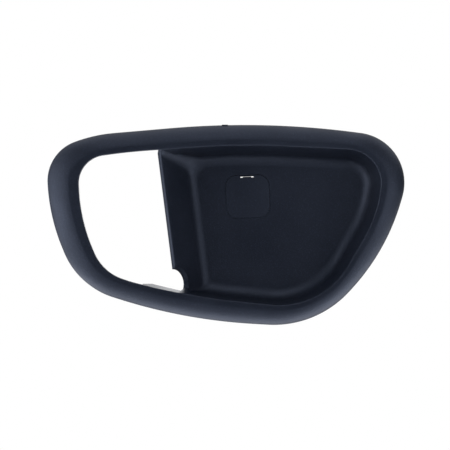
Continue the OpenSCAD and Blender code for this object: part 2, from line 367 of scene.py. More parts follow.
def box(name: str, low: tuple[float, float, float], high: tuple[float, float, float],
        place: Matrix, edge: float = 0.0) -> bpy.types.Object:
    """Makes a box between two corners, its edges rounded off.

    Args:
        name: The object's name.
        low: The lowest corner.
        high: The highest corner.
        place: How the box is moved and turned.
        edge: How far its edges are rounded off.

    Returns:
        The box.
    """
    bm = bmesh.new()
    bmesh.ops.create_cube(bm, size=1.0)
    size = [b - a for a, b in zip(low, high)]
    middle = [(a + b) / 2 for a, b in zip(low, high)]
    bmesh.ops.scale(bm, vec=size, verts=bm.verts[:])
    bmesh.ops.translate(bm, vec=middle, verts=bm.verts[:])
    round_off(bm, bm.edges[:], edge, segments=2)
    return new_object(name, bm, place)


def round_bar(name: str, radii: tuple[float, float], span: tuple[float, float],
              place: Matrix) -> bpy.types.Object:
    """Makes a cylinder or a cone along z.

    Args:
        name: The object's name.
        radii: Its radius at the lower and the upper end.
        span: Its lower and upper end.
        place: How it is moved and turned.

    Returns:
        The solid.
    """
    bm = bmesh.new()
    bmesh.ops.create_cone(bm, cap_ends=True, segments=96, radius1=radii[0], radius2=radii[1],
                          depth=span[1] - span[0])
    bmesh.ops.translate(bm, vec=(0, 0, (span[0] + span[1]) / 2), verts=bm.verts[:])
    return new_object(name, bm, place)


def carve(target: bpy.types.Object, tool: bpy.types.Object, cut: Cut) -> None:
    """Joins a shape to another or takes it away, for good.

    Args:
        target: The shape that changes.
        tool: The second shape, which is used up.
        cut: What is done with it.
    """
    modifier = target.modifiers.new("cut", "BOOLEAN")
    modifier.solver = "EXACT"
    modifier.operation = cut.value
    modifier.object = tool
    changed = target.evaluated_get(bpy.context.evaluated_depsgraph_get())
    mesh = bpy.data.meshes.new_from_object(changed)
    target.modifiers.clear()
    used_up = (target.data, tool.data)
    target.data = mesh
    bpy.data.objects.remove(tool)
    for old in used_up:
        bpy.data.meshes.remove(old)


def settle(obj: bpy.types.Object) -> None:
    """Brings a finished piece to metres and the part's own origin, with smooth faces.

    Args:
        obj: The piece.
    """
    bm = bmesh.new()
    bm.from_mesh(obj.data)
    bmesh.ops.remove_doubles(bm, verts=bm.verts[:], dist=1e-4)
    bmesh.ops.dissolve_degenerate(bm, dist=1e-4, edges=bm.edges[:])
    bmesh.ops.transform(bm, matrix=Matrix.Scale(MM, 4) @ Matrix.Translation(ORIGIN_SHIFT),
                        verts=bm.verts[:])
    for face in bm.faces:
        face.smooth = True
    bm.to_mesh(obj.data)
    bm.free()
    obj.data.set_sharp_from_angle(angle=math.radians(SHARP_ANGLE))


@dataclass
class Rim:
    """The hollow rim round the handle opening and the finger cup.

    Attributes:
        widths: The rim's width above, on the left, below and on the right.
        crest_share: How far in the crest lies, as a share of the rim's width where it is slim.
        crest_loss: What that share loses for each millimetre over the slim width.
        flank: How full the outer flank is: 1 is a straight slope and 2 an ellipse.
        flank_loss: What that loses for each millimetre over the slim width.
        slim: The width up to which the rim counts as slim.
        lip: The inner edge's height in the solids, from which the cup's depth is measured.
        lip_face: The inner edge's height here.
        least_run: The least width that the hollow's roof keeps inside the crest.
        cup_foot: How far behind the panel's plane the inner wall ends beside the cup.
        skin: How far the outer edge stays inside the solids' outline.
        edge: The stations' points on the outer edge.
        inner: Their points on the inner edge.
        sections: Their inward directions and sections.
    """

    half_length: float = 83.0
    half_height: float = 46.5
    widths: tuple[float, float, float, float] = (9.8, 14.6, 9.4, 11.2)
    crest: float = 5.5
    crest_share: float = 0.76
    crest_loss: float = 0.012
    flank: float = 1.55
    flank_loss: float = 0.04
    slim: float = 9.4
    lip: float = 5.0
    lip_face: float = 5.35
    wall: float = 2.2
    lip_ease: float = 0.5
    least_run: float = 0.5
    foot_ease: float = 0.3
    cup_foot: float = 1.5
    skin: float = 0.045
    step: float = 1.3
    edge: list[Vector] = field(default_factory=list)
    inner: list[Vector] = field(default_factory=list)
    sections: list[tuple[Vector, list[Vector]]] = field(default_factory=list)

    def outer_corners(self) -> list[Corner]:
        """Returns the corners of the rim's outer edge."""
        right, top = self.half_length, self.half_height
        left, bottom = -right, -top
        return [
            Corner(17.2, top + 2.3, 398, 24),
            Corner(left + 22.1, top - 4.4, 69),
            Corner(left - 1, top - 12.6, 19.5, 24),
            Corner(left + 1.1, 3.4, 90, 18),
            Corner(left + 11.5, bottom + 24.4, 36),
            Corner(left + 24.9, bottom + 14.6, 34.6),
            Corner(-19.5, bottom + 2.3, 254, 20),
            Corner(right - 40.9, bottom - 1.3, 47.7, 24),
            Corner(right - 8.3, -12.4, 101.7, 18),
            Corner(right + 7.1, top - 7.1, 23.4, 30),
        ]

    def inner_corners(self) -> list[Corner]:
        """Returns the corners of the rim's inner edge, matched to the outer ones."""
        over, beside_left, under, beside_right = self.widths
        top, bottom = self.half_height - over, under - self.half_height
        left, right = beside_left - self.half_length, self.half_length - beside_right
        return [
            Corner(8.4, top + 0.8, 541, 24),
            Corner(left + 23.2, top - 2.7, 289, 20),
            Corner(left - 0.5, top - 6.1, 13.1, 24),
            Corner(left + 0.9, 2.1, 80, 18),
            Corner(left + 11.2, bottom + 15.2, 21.7, 16),
            Corner(left + 24.4, bottom + 10.7, 61.7, 16),
            Corner(-15.9, bottom + 3.7, 330, 20),
            Corner(right - 26.7, bottom - 2.3, 37.1, 24),
            Corner(right - 1.6, 4.4, 59.5, 18),
            Corner(right + 2.6, top - 2.4, 16.1, 24),
        ]

    def excess(self, width: float) -> float:
        """Returns how much wider the rim is than where it is slim."""
        return max(0.0, width - self.slim)

    def crest_across(self, width: float) -> float:
        """Returns how far in from the outer edge the crest lies, at a width of the rim."""
        return (self.crest_share - self.crest_loss * self.excess(width)) * width

    def rise(self, steps: int, span: float, height: float, width: float) -> list[Vector]:
        """Draws the rim's outer flank, nearly straight over most of its way up to the crest.

        Args:
            steps: The steps from its foot to the crest.
            span: The flank's width.
            height: Its height.
            width: The rim's width there; the flank is straighter where the rim is wider.

        Returns:
            Its points after the foot, as distances across and heights.
        """
        power = 2 / (self.flank - self.flank_loss * self.excess(width))
        skipped = 6.0
        points = []
        for k in range(1, steps + 1):
            angle = math.radians(skipped + (90 - skipped) * k / steps)
            across = max(0.0, math.cos(angle)) ** power
            points.append(Vector((span * (1 - across), height * math.sin(angle) ** power)))
        return points

    def section(self, width: float, foot: Vector) -> list[Vector]:
        """Draws the rim's section, from its outer foot over the crest and round its hollow.

        Args:
            width: The rim's width there.
            foot: The inner wall's foot, as its distance across and its depth.

        Returns:
            The section's points, as distances across and depths.
        """
        crest = self.crest_across(width)
        fall = width - crest

        def face(inset_by: float, share: float) -> Vector:
            """Returns the point on the fall from the crest to the lip at a share of it."""
            drop = (self.crest - self.lip_face) * share * share
            run = max(fall - inset_by, self.least_run)
            return Vector((crest + run * share, drop + inset_by - self.crest))

        lip = Vector((width, -self.lip_face))
        eased = 1 - self.lip_ease / fall
        down = (foot - lip).normalized()
        flank_steps, fall_steps, back_steps, back_flank_steps = 20, 12, 6, 8
        points = eased_corner(Vector((self.foot_ease, 0)), Vector((0, 0)),
                              Vector((0, -self.foot_ease)), steps=3)
        outside = self.rise(flank_steps, crest, self.crest, width)
        points += [Vector((p.x, -p.y)) for p in outside]
        points += [face(0, eased * k / fall_steps) for k in range(1, fall_steps)]
        points += eased_corner(face(0, eased), lip, lip + down * self.lip_ease, steps=5)
        points += [lip.lerp(foot, 0.6), foot]
        points.append(foot + Vector((face(self.wall, 1).x - width, 0)))
        points += [face(self.wall, 1 - k / back_steps) for k in range(back_steps + 1)]
        inside = self.rise(back_flank_steps, crest - self.wall, self.crest - self.wall, width)
        points += [Vector((self.wall + p.x, -p.y)) for p in reversed(inside[:-1])]
        points.append(Vector((self.wall, 0)))
        return points

    def stations(self, cup: "FingerCup") -> None:
        """Finds the rim's stations: points on its outer edge, and on its inner edge square to it.

        Args:
            cup: The finger cup, whose lip the rim's inner edge follows beside it.
        """
        corners = self.outer_corners()
        within = inset(corners, [self.skin] * len(corners), [0.0] * len(corners))
        self.edge = even_steps(rounded(within), self.step)
        opening = rounded(self.inner_corners())
        lip = cup.ring_outline(cup.lip_to_floor)
        foot = cup.ring_outline(cup.depth - self.cup_foot)
        count = len(self.edge)
        self.inner, self.sections = [], []
        past_rim, past_lip = 1.0, 3.0
        for i, point in enumerate(self.edge):
            along = (self.edge[(i + 1) % count] - self.edge[i - 1]).normalized()
            inward = Vector((-along.y, along.x))
            width = first_crossing(point, inward, opening)
            near = point + inward * width
            share = cup.beside(near)
            foot_reach = width
            depth = self.cup_foot * share
            if share > 0:
                lip_reach = min(first_crossing(point, inward, lip), width + past_rim)
                wall_reach = min(first_crossing(point, inward, foot), lip_reach + past_lip)
                width += (lip_reach - width) * share
                foot_reach = width + (wall_reach - lip_reach) * share
            self.inner.append(point + inward * width)
            self.sections.append((inward, self.section(width, Vector((foot_reach, depth)))))

    def build(self, cup: "FingerCup") -> bpy.types.Object:
        """Builds the rim beside its cup.

        Args:
            cup: The finger cup that the rim runs into.

        Returns:
            The rim as a closed solid.
        """
        self.stations(cup)
        rings = []
        for k in range(len(self.sections[0][1])):
            ring = []
            for point, (inward, section) in zip(self.edge, self.sections):
                spot = point + inward * section[k].x
                ring.append(Vector((spot.x, section[k].y, spot.y)))
            rings.append(ring)
        return swept("rim", rings, closed=True)

    def nearest(self, x: float, z: float) -> int:
        """Returns the station nearest to a place on the outer edge."""
        return min(range(len(self.edge)), key=lambda i: (self.edge[i] - Vector((x, z))).length)

    def section_place(self, station: int) -> tuple[Matrix, float]:
        """Finds where a station's section lies.

        Args:
            station: The station's number.

        Returns:
            The place of a flat shape drawn as distance across and height, and the rim's width.
        """
        across = self.inner[station] - self.edge[station]
        width = across.length
        across.normalize()
        start = self.edge[station]
        place = Matrix((
            (across.x, 0, across.y, start.x),
            (0, -1, 0, 0),
            (across.y, 0, -across.x, start.y),
            (0, 0, 0, 1),
        ))
        return place, width


@dataclass
class FingerCup:
    """The cup behind the handle, with its ramp and the notch in it.

    Attributes:
        ramp_angle: The ramp's slope against the floor.
        ramp_lean: The lean of its free edge from upright.
        ramp_edge: How far left of the middle that edge lies.
        ramp_top: That edge's height over the panel's plane.
        fillet_turn: The degrees that the rounding at the walls' foot is drawn over.
        corner_growth: What the ramp's upper corner gains in radius for each millimetre down.
        behind_rim: How far the wall's inside lies behind the rim's, so that they don't coincide.
        high_in: How far under the opening's upper edge the ramp starts.
        low_in: How far over its lower edge the ramp ends.
        foot_beyond: How far past the ramp's foot the lip's lower edge bends.
        foot_slope: How steeply that edge falls up to the bend.
        blend_after: How far past the ramp's line the rim begins to follow the cup, which it
            then does more and more over the length of blend.
        lift: What keeps a ring off the floor, where wall_inset would take a root below zero.
    """

    rim: Rim
    depth: float = 10.0
    wall: float = 2.2
    upper_draft: float = 19.0
    lower_draft: float = 10.0
    ramp_angle: float = 46.5
    ramp_lean: float = 7.2
    ramp_edge: float = 26.0
    ramp_top: float = 3.8
    fillet: float = 6.4
    fillet_turn: float = 78.0
    fillet_steps: int = 12
    corner_r: float = 2.5
    corner_growth: float = 0.3
    behind_rim: float = 0.02
    edge_ease: float = 0.35
    high_in: float = 1.8
    low_in: float = 5.9
    foot_beyond: float = 7.0
    foot_slope: float = 0.163
    blend_after: float = 0.5
    blend: float = 4.0
    lift: float = 1e-4
    lip_to_floor: float = field(init=False)
    drafts: list[float] = field(init=False)
    lip_corners: list[Corner] = field(init=False)
    parts: list[int] = field(init=False)
    tables: dict[float, list[tuple[float, list[Vector]]]] = field(default_factory=dict)

    def __post_init__(self) -> None:
        """Works out the lip's outline and each wall's draft."""
        self.lip_to_floor = self.rim.lip + self.depth
        self.drafts = [self.upper_draft] * 3 + [90 - self.ramp_angle]
        self.drafts += [self.lower_draft] * 2 + [self.upper_draft] * 2
        corners = self.rim.inner_corners()
        over, _, under, _ = self.rim.widths
        high = self.rim.half_height - over - self.high_in
        low = under - self.rim.half_height + self.low_in
        run = (self.depth + self.ramp_top) / math.tan(math.radians(self.ramp_angle))
        foot = self.foot_beyond - self.ramp_edge + run
        foot -= low * math.tan(math.radians(self.ramp_lean))
        split, steps = 10.0, 12
        tops = []
        for j, radius in ((9, 300), (1, 200)):
            place = corners[0].place
            place += (corners[j].place - place).normalized() * split
            tops.append(Corner(place.x, place.y, radius, steps))
        foot_z = low - self.foot_slope * (foot - self.ramp_x(low))
        self.lip_corners = tops + [
            Corner(self.ramp_x(high), high, self.corner_r, steps),
            Corner(self.ramp_x(low), low, self.corner_r, steps),
            Corner(foot, foot_z, 60, steps),
        ] + corners[7:]
        lip = rounded(self.lip_corners)
        spacing = 1.5
        self.parts = [max(1, round((lip[(i + 1) % len(lip)] - lip[i]).length / spacing))
                      for i in range(len(lip))]

    def ramp_x(self, z: float) -> float:
        """Returns where the ramp's plane crosses the lip's height, at a height z."""
        lip_x = self.ramp_edge
        lip_x += (self.rim.lip - self.ramp_top) / math.tan(math.radians(self.ramp_angle))
        return -lip_x - z * math.tan(math.radians(self.ramp_lean))

    def beside(self, point: Vector) -> float:
        """Says how far a point of the rim's inner edge belongs to the cup.

        Args:
            point: The point on the rim's inner edge.

        Returns:
            0 beside the handle opening and 1 beside the cup, with a short change between.
        """
        start = self.ramp_x(point.y) + self.blend_after
        return smooth_step(point.x, start, start + self.blend)

    def wall_inset(self, draft: float, h: float, t: float) -> float:
        """Finds how far a wall has come inwards from the lip.

        Args:
            draft: The wall's draft in degrees.
            h: The height above the floor.
            t: How far outside the inner face the surface lies.

        Returns:
            The distance inwards.
        """
        tilt = math.radians(draft)
        if h >= self.fillet - (self.fillet + t) * math.sin(tilt):
            return (self.lip_to_floor - h) * math.tan(tilt) - t / math.cos(tilt)
        whole = self.lip_to_floor * math.tan(tilt)
        whole += self.fillet * math.tan(math.radians(45 - draft / 2))
        return whole - math.sqrt((self.fillet + t) ** 2 - (self.fillet - h) ** 2)

    def ring_outline(self, h: float, t: float = 0.0) -> list[Vector]:
        """Draws the cup's outline at a height above its floor.

        Args:
            h: The height above the floor.
            t: How far outside the inner face the surface lies.

        Returns:
            The outline's points, as many at every height.
        """
        by = [self.wall_inset(d, h, t) for d in self.drafts]
        least = [self.corner_r] * len(by)
        least[2] += self.corner_growth * (self.lip_to_floor - h)
        line = rounded(inset(self.lip_corners, by, least))
        points = []
        for i, parts in enumerate(self.parts):
            ahead = line[(i + 1) % len(line)]
            points += [line[i].lerp(ahead, k / parts) for k in range(parts)]
        return points

    def ring(self, h: float, t: float) -> list[Vector]:
        """Returns the cup's outline at a height, in space."""
        return [Vector((p.x, self.depth - h, p.y)) for p in self.ring_outline(h, t)]

    def tall_ring(self, heights: list[float], t: float) -> list[Vector]:
        """Draws a ring whose points lie at different heights.

        Args:
            heights: Each point's height above the floor.
            t: How far outside the inner face the surface lies.

        Returns:
            The ring's points.
        """
        if t not in self.tables:
            levels = [self.fillet * 0.5 + k for k in range(14)]
            self.tables[t] = [(h, self.ring(h, t)) for h in levels]
        table = self.tables[t]
        points = []
        for j, h in enumerate(heights):
            k = max(0, min(len(table) - 2, int(h - table[0][0])))
            share = (h - table[k][0]) / (table[k + 1][0] - table[k][0])
            points.append(table[k][1][j].lerp(table[k + 1][1][j], share))
        return points

    def ramp_shares(self) -> list[float]:
        """Returns how far each point of a ring belongs to the ramp, from 0 to 1."""
        shares = []
        turn = self.lip_corners[2].steps + 1
        before = sum(c.steps + 1 for c in self.lip_corners[:2])
        for i, parts in enumerate(self.parts):
            for k in range(parts):
                place = i + k / parts
                rising = smooth_step(place, before, before + turn - 1)
                falling = smooth_step(place, before + turn, before + 2 * turn - 1)
                shares.append(rising - falling)
        return shares

    def foot_height(self, k: int, thickness: float = 0.0) -> float:
        """Returns the height that the rounding at the walls' foot has after k of its steps."""
        angle = math.radians(self.fillet_turn * k / self.fillet_steps)
        return self.fillet - (self.fillet + thickness) * math.cos(angle)

    def foot_rings(self, t: float, thickness: float = 0.0) -> list[list[Vector]]:
        """Draws the rounding at the walls' foot, from the floor up.

        Args:
            t: How far outside the inner face the rings lie.
            thickness: How far outside it the rounding's surface lies that sets their heights.

        Returns:
            The rings.
        """
        return [self.ring(self.foot_height(k, thickness) + self.lift, t)
                for k in range(self.fillet_steps + 1)]

    def shell_rings(self) -> list[list[Vector]]:
        """Returns the rings of the cup's wall, from its floor up the inside and down the back."""
        skin = self.behind_rim
        shares = self.ramp_shares()
        under_lip, top_wall = 0.35, 1.3
        edge_in = self.depth + self.ramp_top
        edge_out = edge_in - self.wall * math.cos(math.radians(self.ramp_angle))
        high = self.lip_to_floor - under_lip
        inner_top = [high + (edge_in - high) * s for s in shares]
        outer_top = [high + (edge_out - high) * s for s in shares]
        rings = self.foot_rings(skin)
        start = self.foot_height(self.fillet_steps)
        for u in (0.2, 0.4, 0.6, 0.8):
            heights = [start + (h - self.edge_ease - start) * u for h in inner_top]
            rings.append(self.tall_ring(heights, skin))
        below = self.tall_ring([h - self.edge_ease for h in inner_top], skin)
        inside = self.tall_ring(inner_top, skin)
        thin = self.tall_ring(outer_top, top_wall)
        thick = self.tall_ring(outer_top, self.wall)
        outside = [a.lerp(b, s) for a, b, s in zip(thin, thick, shares)]
        first_back = self.ring(self.foot_height(self.fillet_steps, self.wall), self.wall)
        curves = []
        for a, b, c, d in zip(below, inside, outside, first_back):
            over = (c - b).normalized() * self.edge_ease
            down = (d - c).normalized() * self.edge_ease
            curves.append(eased_corner(a, b, b + over, 3) + eased_corner(c - over, c, c + down, 3))
        rings += [list(ring) for ring in zip(*curves)]
        last = rings[-1]
        for u in (0.3, 0.65):
            rings.append([a.lerp(b, u) for a, b in zip(last, first_back)])
        return rings + self.foot_rings(self.wall, self.wall)[::-1]

    def hollow(self) -> bpy.types.Object:
        """Returns the cup's hollow as a solid, from its floor out past the rim."""
        rings = self.foot_rings(0.0)
        rings.append(self.ring(self.lip_to_floor, 0.0))
        rings.append([Vector((p.x, -self.rim.crest - OVERRUN, p.z)) for p in rings[-1]])
        return swept("hollow", rings, closed=False)

    def on_ramp(self, z: float) -> Matrix:
        """Finds a place on the ramp's free edge.

        Args:
            z: The place's height.

        Returns:
            A place whose x runs up the slope, y along it and z out of its inner face.
        """
        x = -self.ramp_edge - z * math.tan(math.radians(self.ramp_lean))
        return (Matrix.Translation((x, -self.ramp_top, z))
                @ Matrix.Rotation(math.radians(-self.ramp_lean), 4, "Y")
                @ Matrix.Rotation(math.radians(90), 4, "X")
                @ Matrix.Rotation(math.radians(self.ramp_angle), 4, "Y"))

    def cut_notch(self, shell: bpy.types.Object) -> None:
        """Cuts the chamfered notch at the ramp's lower end.

        Args:
            shell: The cup's wall.
        """
        radius, chamfer, drop, reach = 6.5, 1.3, 26.9, 10
        place = self.on_ramp(-drop)
        for radii, half in (((radius, radius), reach), ((radius, radius + 2 * chamfer), chamfer)):
            carve(shell, round_bar("notch", radii, (-half, half), place), Cut.TAKE_AWAY)

    def build(self) -> bpy.types.Object:
        """Returns the cup's wall as a closed solid with its notch."""
        shell = swept("cup", self.shell_rings(), closed=False)
        self.cut_notch(shell)
        return shell


@dataclass
class ScrewSeat:
    """The block behind the cup's floor that holds the fixing screw and the screw cover.

    Attributes:
        turn: How many degrees the screw cover is turned on the floor.
        ledge: The width of the ledge that it lies on.
        floor: The cup floor's depth behind the panel's plane.
        depth: The pocket's depth behind the floor.
        plate: The thickness of the plate that the screw goes through.
        embed: How far behind the floor's face the blocks start.
        slot_under: How far the catch's slot starts under the pocket's upper wall.
        slot_margin: How far it ends under the screw cover's upper edge.
        slot_play: How much wider and lower the slot is behind the rebate's block.
    """

    x: float = 10.3
    z: float = 13.4
    turn: float = 2.2
    cover_w: float = 20.4
    cover_h: float = 20.1
    cover_r: float = 5.3
    cover_t: float = 1.8
    gap: float = 0.14
    ledge: float = 1.9
    slot_w: float = 6.2
    pocket_r: float = 2.5
    pocket_wall: float = 2.0
    floor: float = 10.0
    depth: float = 9.0
    plate: float = 2.2
    hole_r: float = 2.75
    block_t: float = 2.0
    embed: float = 1.1
    slot_under: float = 0.4
    slot_margin: float = 0.7
    slot_play: float = 0.02

    def __post_init__(self) -> None:
        """Works out the pocket, the slot and the depths behind the panel."""
        self.pocket_w = self.cover_w - 2 * self.ledge
        self.pocket_h = self.cover_h - 2 * self.ledge
        self.slot_low = self.pocket_h / 2 - self.slot_under
        self.slot_high = self.cover_h / 2 - self.slot_margin
        self.ledge_y = self.floor + self.cover_t
        self.block_y = self.ledge_y + self.block_t
        self.seat_y = self.floor + self.depth
        self.back_y = self.seat_y + self.plate

    @property
    def place(self) -> Matrix:
        """Returns the place of the screw cover's middle, turned as the cover is."""
        return (Matrix.Translation((self.x, 0, self.z))
                @ Matrix.Rotation(math.radians(-self.turn), 4, "Y"))

    def add_to(self, shell: bpy.types.Object) -> None:
        """Joins the seat to the cup's wall and cuts its rebate, pocket, slot and hole.

        Args:
            shell: The cup's wall.
        """
        start = self.floor + self.embed
        side = 2 * (self.gap + self.pocket_wall)
        blocks = (
            ((self.cover_w + side, self.cover_h + side), self.cover_r + side / 2, self.block_y),
            ((self.pocket_w + 2 * self.pocket_wall, self.pocket_h + 2 * self.pocket_wall),
             self.pocket_r + self.pocket_wall, self.back_y),
        )
        for size, radius, back in blocks:
            carve(shell, rounded_block("block", size, radius, (start, back), self.place), Cut.JOIN)
        rebate = (self.cover_w + 2 * self.gap, self.cover_h + 2 * self.gap)
        half, end = self.slot_w / 2, self.back_y + OVERRUN
        wider = half + self.slot_play
        along = self.place @ Matrix.Rotation(math.radians(-90), 4, "X")
        cuts = (
            rounded_block("rebate", rebate, self.cover_r + self.gap,
                          (self.floor - OVERRUN, self.ledge_y), self.place),
            rounded_block("pocket", (self.pocket_w, self.pocket_h), self.pocket_r,
                          (self.ledge_y - OVERRUN, self.seat_y), self.place),
            box("slot", (-half, self.ledge_y - OVERRUN, self.slot_low),
                (half, end, self.slot_high), self.place),
            box("slot_back", (-wider, self.block_y, self.slot_low - self.slot_play),
                (wider, end, self.slot_low + 2 * self.pocket_wall), self.place),
            round_bar("hole", (self.hole_r, self.hole_r), (self.seat_y - OVERRUN, end), along),
        )
        for cut in cuts:
            carve(shell, cut, Cut.TAKE_AWAY)


@dataclass
class Bezel:
    """The whole moulding: rim, finger cup, screw seat, ribs, hooks, flange and nub.

    Attributes:
        rib_set_in: How far a rib's back lies in front of the panel's plane.
        rib_embed: How far a rib reaches into the rim's wall; hook_embed is that of a hook.
        panel_t: The thickness of the panel that the hooks reach behind.
        hook_spots: Where the hooks stand, as the places nearest to them on the outer edge.
        flange_depth: How far the strip beside the notch runs on behind the rim.
    """

    rim: Rim
    cup: FingerCup
    seat: ScrewSeat
    rib_count: int = 16
    rib_t: float = 1.6
    rib_set_in: float = 1.0
    rib_embed: float = 0.6
    panel_t: float = 2.6
    hook_w: float = 8.0
    hook_reach: float = 3.0
    hook_embed: float = 0.4
    hook_ease: float = 0.25
    hook_spots: tuple[tuple[float, float], ...] = ((-83, 22), (-75, -14))
    tab_spot: tuple[float, float] = (83, 8)
    flange_depth: float = 9.0

    def ribs(self, avoid: list[int]) -> list[bpy.types.Object]:
        """Builds the ribs across the rim's hollow.

        Args:
            avoid: The stations that carry a hook or tab, which no rib comes near.

        Returns:
            The ribs.
        """
        made = []
        steps = 5
        turns = [math.radians(90 * s / steps) for s in range(1, steps + 1)]
        shares = [s / steps for s in range(1, steps + 1)]
        total = len(self.rim.edge)
        for k in range(self.rib_count):
            i = int((k + 0.5) * total / self.rib_count)
            if min((self.rim.edge[i] - self.rim.edge[j]).length for j in avoid) <= self.hook_w:
                continue
            place, width = self.rim.section_place(i)
            inset_by = self.rim.wall - self.rib_embed
            crest = self.rim.crest_across(width)
            rise = self.rim.crest - inset_by
            lip = self.rim.lip - inset_by
            outline = [(inset_by, self.rib_set_in)]
            outline += [(inset_by + (crest - inset_by) * (1 - math.cos(turn)),
                         rise * math.sin(turn)) for turn in turns]
            outline += [(crest + (width - inset_by - crest) * share,
                         rise - (rise - lip) * share * share) for share in shares]
            outline.append((width - inset_by, self.rib_set_in))
            made.append(drawn_out("rib", outline, self.rib_t, place))
        return made

    def hooks(self, hook_stations: list[int], tab_station: int) -> list[bpy.types.Object]:
        """Builds the hooks and the locating tab inside the rim.

        Args:
            hook_stations: The stations that carry a hook.
            tab_station: The station that carries the plain tab.

        Returns:
            The hooks and the tab.
        """
        made = []
        top = self.rim.crest - self.rim.wall + self.hook_embed
        end = -self.panel_t - self.rib_t
        for i in hook_stations:
            place, width = self.rim.section_place(i)
            outer = (width - self.rib_t) / 2
            inner, tip = outer + self.rib_t, outer - self.hook_reach
            outline = [(outer, top), (outer, -self.panel_t), (tip, -self.panel_t), (tip, end),
                       (inner, end), (inner, top)]
            made.append(drawn_out("hook", outline, self.hook_w, place, edge=self.hook_ease))
        place, width = self.rim.section_place(tab_station)
        low, high = (width - self.rib_t) / 2, (width + self.rib_t) / 2
        outline = [(low, top), (low, end), (high, end), (high, top)]
        made.append(drawn_out("tab", outline, self.hook_w, place, edge=self.hook_ease))
        return made

    def nub(self) -> bpy.types.Object:
        """Returns the locating nub on the rim's top edge."""
        middle, width, proud, depth, set_in = -0.4, 2.8, 0.2, 0.8, 0.2
        top = self.rim.half_height
        return box("nub", (middle - width / 2, -depth - set_in, top - self.rim.wall / 2),
                   (middle + width / 2, -set_in, top + proud), Matrix.Identity(4), edge=0.15)

    def flange(self) -> bpy.types.Object:
        """Returns the strip of wall that runs on behind the rim, beside the notch."""
        length, corner, slope, tilt, embed = 20.0, 4.0, 13.6, 6.0, 3.0
        start_x, start_z = 29.9, 10.6
        back = self.flange_depth
        left = self.rim.widths[1] - self.rim.half_length
        bottom = self.rim.widths[2] - self.rim.half_height
        outline = [(0, -back - embed), (0, 1 - back), (corner, 0), (length, 0),
                   (length, -back - embed)]
        place = (Matrix.Translation((left + start_x, back, bottom + start_z))
                 @ Matrix.Rotation(math.radians(slope), 4, "Y")
                 @ Matrix.Rotation(math.radians(tilt), 4, "X")
                 @ Matrix.Translation((0, 0, -self.cup.wall / 2)))
        strip = drawn_out("flange", outline, self.cup.wall, place, edge=0.2)
        carve(strip, self.cup.hollow(), Cut.TAKE_AWAY)
        return strip

    def build(self) -> bpy.types.Object:
        """Returns the bezel as one closed solid, in metres and in the part's frame."""
        rim = self.rim.build(self.cup)
        log.info("rim: %d stations", len(self.rim.edge))
        shell = self.cup.build()
        log.info("finger cup: %d faces", len(shell.data.polygons))
        self.seat.add_to(shell)
        log.info("screw seat: %d faces with the cup", len(shell.data.polygons))
        hook_stations = [self.rim.nearest(*spot) for spot in self.hook_spots]
        tab_station = self.rim.nearest(*self.tab_spot)
        pieces = self.ribs(hook_stations + [tab_station])
        pieces += self.hooks(hook_stations, tab_station)
        pieces += [self.nub(), self.flange()]
        for piece in pieces:
            carve(rim, piece, Cut.JOIN)
        carve(rim, shell, Cut.JOIN)
        log.info("bezel: %d faces", len(rim.data.polygons))
        rim.name = "bezel_moulding"
        settle(rim)
        return rim

    def dress(self, finish: "Plastic") -> bpy.types.Object:
        """Builds the bezel and gives it its finish.

        Args:
            finish: The plastic that it is moulded in.

        Returns:
            The finished piece, riding on the bezel.
        """
        piece = self.build()
        finish.coat(piece)
        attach(piece, "bezel")
        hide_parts("bezel")
        return piece


@dataclass
class ScrewCover:
    """The small plate that snaps into the cup's floor over the fixing screw."""

    seat: ScrewSeat
    catch_w: float = 4.0
    edge: float = 0.14
    bar_ease: float = 0.15

    def build(self) -> bpy.types.Object:
        """Returns the screw cover as one closed solid, in metres and in the part's frame."""
        seat = self.seat
        plate = rounded_block("screw_cover_plate", (seat.cover_w, seat.cover_h), seat.cover_r,
                              (seat.floor, seat.ledge_y), seat.place, edge=self.edge)
        pry_depth, pry_h = 1.2, 4.0
        half = seat.slot_w / 2
        low = seat.cover_h / 2 - pry_depth
        carve(plate, box("pry_notch", (-half, seat.floor - OVERRUN, low),
                         (half, seat.ledge_y + OVERRUN, low + pry_h), seat.place), Cut.TAKE_AWAY)
        catch_t, catch_back = 1.7, 6.0
        leg_w, leg_t, leg_back, play, embed = 3.0, 1.5, 4.2, 0.2, 0.5
        top = seat.slot_high - seat.gap
        foot = play - seat.pocket_h / 2
        leg_y = seat.ledge_y - embed
        bars = [("catch", (-self.catch_w / 2, seat.floor + seat.cover_t / 2, top - catch_t),
                 (self.catch_w / 2, seat.floor + catch_back, top))]
        bars += [("leg", (x - leg_w / 2, leg_y, foot),
                  (x + leg_w / 2, leg_y + leg_back, foot + leg_t))
                 for x in (-seat.cover_w / 4, seat.cover_w / 4)]
        for name, low_end, high_end in bars:
            carve(plate, box(name, low_end, high_end, seat.place, edge=self.bar_ease), Cut.JOIN)
        settle(plate)
        return plate

    def dress(self, finish: "Plastic") -> bpy.types.Object:
        """Builds the screw cover and gives it its finish.

        Args:
            finish: The plastic that it is moulded in.

        Returns:
            The finished piece, riding on the screw cover.
        """
        piece = self.build()
        finish.coat(piece)
        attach(piece, "screw_cover")
        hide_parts("screw_cover")
        return piece


